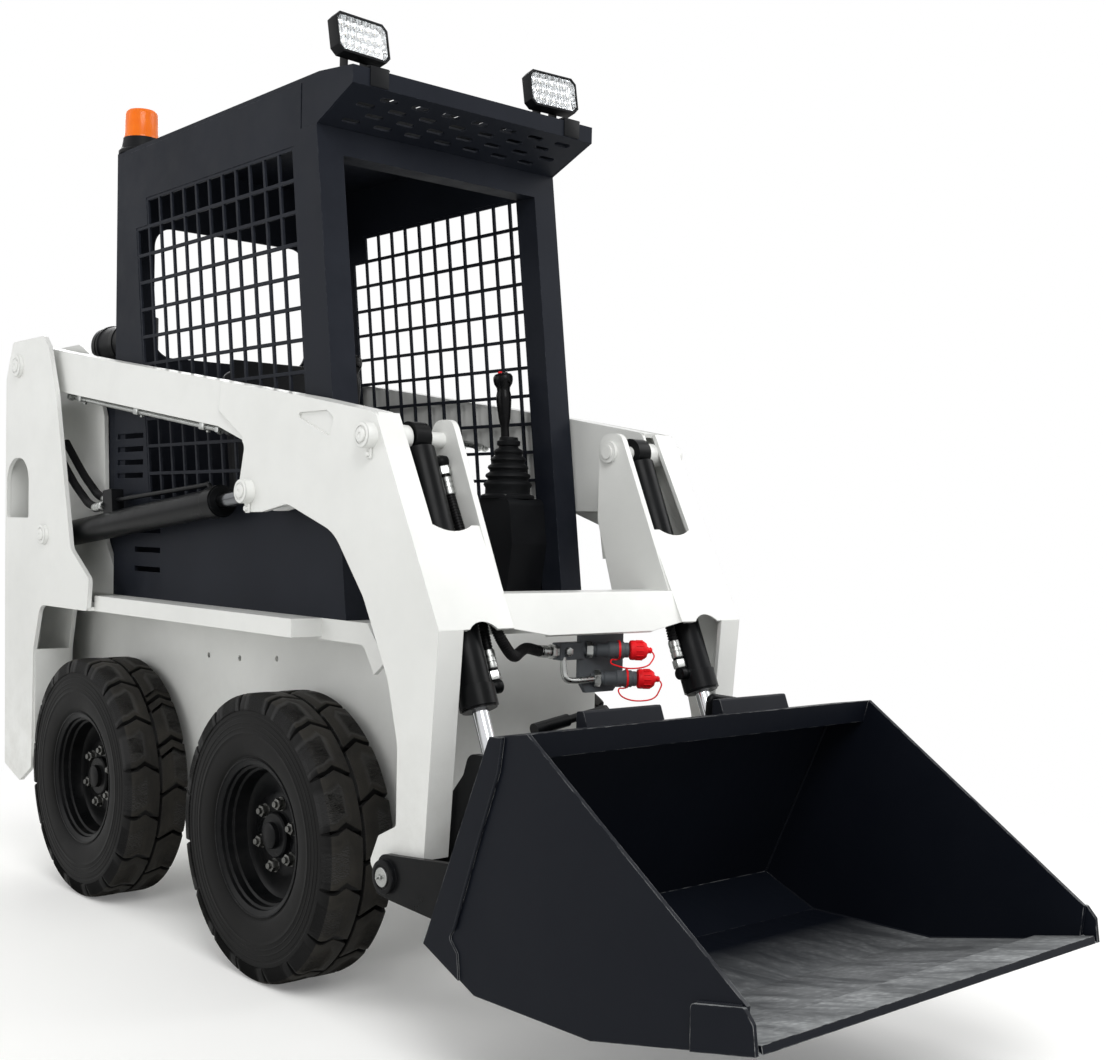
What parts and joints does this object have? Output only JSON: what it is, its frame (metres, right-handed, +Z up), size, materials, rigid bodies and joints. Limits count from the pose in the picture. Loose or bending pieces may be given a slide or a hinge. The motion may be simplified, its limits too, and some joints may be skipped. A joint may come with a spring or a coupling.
{
  "type": "skid steer loader",
  "caption": "Compact wheeled skid steer loader with an open-front mesh cab, lift arms on rear towers, quick attach and general purpose bucket.",
  "frame": {"origin": "on the ground, on the centre plane, under the front axle and midway along the length", "axes": "+X forward, +Y to the machine's left, +Z up"},
  "size_m": [2.9105, 0.982, 2.12],
  "materials": {
    "white_paint": "satin white paint on welded steel",
    "dark_paint": "satin blue-black paint on sheet steel",
    "bucket_paint": "satin black paint, worn on the floor",
    "black_paint": "satin black paint",
    "worn_steel": "scuffed bare steel edge",
    "chrome": "polished hard chrome",
    "zinc": "zinc plated steel",
    "cast": "rough cast iron",
    "tyre": "black tyre rubber",
    "trim": "black moulded plastic and vinyl",
    "red_cap": "red soft plastic",
    "amber": "amber transparent plastic",
    "lens": "clear ribbed lens"
  },
  "bodies": {
    "machine": {"air_cleaner": "trim", "axles": "black_paint", "beacon": "amber", "bumper": "white_paint", "cab_back": "dark_paint", "cab_frame": "dark_paint", "cab_mesh_left": "dark_paint", "cab_mesh_right": "dark_paint", "cab_roof": "dark_paint", "chassis": "white_paint", "consoles": "trim", "control_levers": "trim", "engine_block": "cast", "engine_hood": "dark_paint", "fenders": "white_paint", "lamp_lenses": "lens", "seat": "trim", "seat_box": "trim", "tower_left": "white_paint", "tower_right": "white_paint", "work_lamps": "trim"},
    "arms": {"boom": "white_paint", "boom_lines": "zinc", "coupler_caps": "red_cap"},
    "tool": {"quick_attach": "black_paint", "attach_levers": "black_paint", "bucket": "bucket_paint", "cutting_edge": "worn_steel"},
    "rear_hatch": {"rear_door": "dark_paint"},
    "lift_barrel_right": {"lift_barrel_right": "black_paint", "lift_hoses_right": "trim"},
    "lift_rod_right": {"lift_rod_right": "chrome"},
    "lift_barrel_left": {"lift_barrel_left": "black_paint", "lift_hoses_left": "trim"},
    "lift_rod_left": {"lift_rod_left": "chrome"},
    "tilt_barrel_right": {"tilt_barrel_right": "black_paint"},
    "tilt_rod_right": {"tilt_rod_right": "chrome"},
    "tilt_barrel_left": {"tilt_barrel_left": "black_paint"},
    "tilt_rod_left": {"tilt_rod_left": "chrome"},
    "wheel_front_right": {"tyre_front_right": "tyre", "rim_front_right": "black_paint"},
    "wheel_front_left": {"tyre_front_left": "tyre", "rim_front_left": "black_paint"},
    "wheel_rear_right": {"tyre_rear_right": "tyre", "rim_rear_right": "black_paint"},
    "wheel_rear_left": {"tyre_rear_left": "tyre", "rim_rear_left": "black_paint"}
  },
  "joints": [
    {"name": "arm_lift", "type": "hinge", "parent": "machine", "child": "arms", "pos_m": [-1.352, 0, 1.452], "axis": [0, -1, 0], "range_deg": [-4.5, 55]},
    {"name": "bucket_tilt", "type": "hinge", "parent": "arms", "child": "tool", "pos_m": [0.494, 0, 0.333], "axis": [0, -1, 0], "range_deg": [-95, 14]},
    {"name": "rear_door_hinge", "type": "hinge", "parent": "machine", "child": "rear_hatch", "pos_m": [-1.449, 0.326, 0.965], "axis": [0, 0, -1], "range_deg": [0, 100]},
    {"name": "lift_barrel_right_swing", "type": "hinge", "parent": "machine", "child": "lift_barrel_right", "pos_m": [-1.162, -0.39, 0.969], "axis": [0, -1, 0], "range_deg": [-4.35, 52.63]},
    {"name": "lift_rod_right_slide", "type": "slide", "parent": "lift_barrel_right", "child": "lift_rod_right", "axis": [0.9943, 0, 0.1067], "range_m": [-0.03994, 0.48258]},
    {"name": "lift_barrel_left_swing", "type": "hinge", "parent": "machine", "child": "lift_barrel_left", "pos_m": [-1.162, 0.39, 0.969], "axis": [0, -1, 0], "range_deg": [-4.35, 52.63]},
    {"name": "lift_rod_left_slide", "type": "slide", "parent": "lift_barrel_left", "child": "lift_rod_left", "axis": [0.9943, 0, 0.1067], "range_m": [-0.03994, 0.48258]},
    {"name": "tilt_barrel_right_swing", "type": "hinge", "parent": "arms", "child": "tilt_barrel_right", "pos_m": [0.388, -0.318, 1.194], "axis": [0, -1, 0], "range_deg": [-3.77, 0.6]},
    {"name": "tilt_rod_right_slide", "type": "slide", "parent": "tilt_barrel_right", "child": "tilt_rod_right", "axis": [0.3931, 0, -0.9195], "range_m": [-0.06032, 0.40639]},
    {"name": "tilt_barrel_left_swing", "type": "hinge", "parent": "arms", "child": "tilt_barrel_left", "pos_m": [0.388, 0.318, 1.194], "axis": [0, -1, 0], "range_deg": [-3.77, 0.6]},
    {"name": "tilt_rod_left_slide", "type": "slide", "parent": "tilt_barrel_left", "child": "tilt_rod_left", "axis": [0.3931, 0, -0.9195], "range_m": [-0.06032, 0.40639]},
    {"name": "wheel_front_right_spin", "type": "hinge", "parent": "machine", "child": "wheel_front_right", "pos_m": [0, -0.374, 0.32], "axis": [0, 1, 0], "continuous": true},
    {"name": "wheel_front_left_spin", "type": "hinge", "parent": "machine", "child": "wheel_front_left", "pos_m": [0, 0.374, 0.32], "axis": [0, 1, 0], "continuous": true},
    {"name": "wheel_rear_right_spin", "type": "hinge", "parent": "machine", "child": "wheel_rear_right", "pos_m": [-0.908, -0.374, 0.32], "axis": [0, 1, 0], "continuous": true},
    {"name": "wheel_rear_left_spin", "type": "hinge", "parent": "machine", "child": "wheel_rear_left", "pos_m": [-0.908, 0.374, 0.32], "axis": [0, 1, 0], "continuous": true}
  ],
  "couplings": [
    {"joint": "lift_barrel_right_swing", "follows": "arm_lift", "ratio": 0.956},
    {"joint": "lift_rod_right_slide", "follows": "arm_lift", "m_per_rad": 0.5022},
    {"joint": "lift_barrel_left_swing", "follows": "arm_lift", "ratio": 0.956},
    {"joint": "lift_rod_left_slide", "follows": "arm_lift", "m_per_rad": 0.5022},
    {"joint": "tilt_barrel_right_swing", "follows": "bucket_tilt", "ratio": 0.0392},
    {"joint": "tilt_rod_right_slide", "follows": "bucket_tilt", "m_per_rad": -0.2448},
    {"joint": "tilt_barrel_left_swing", "follows": "bucket_tilt", "ratio": 0.0392},
    {"joint": "tilt_rod_left_slide", "follows": "bucket_tilt", "m_per_rad": -0.2448}
  ]
}
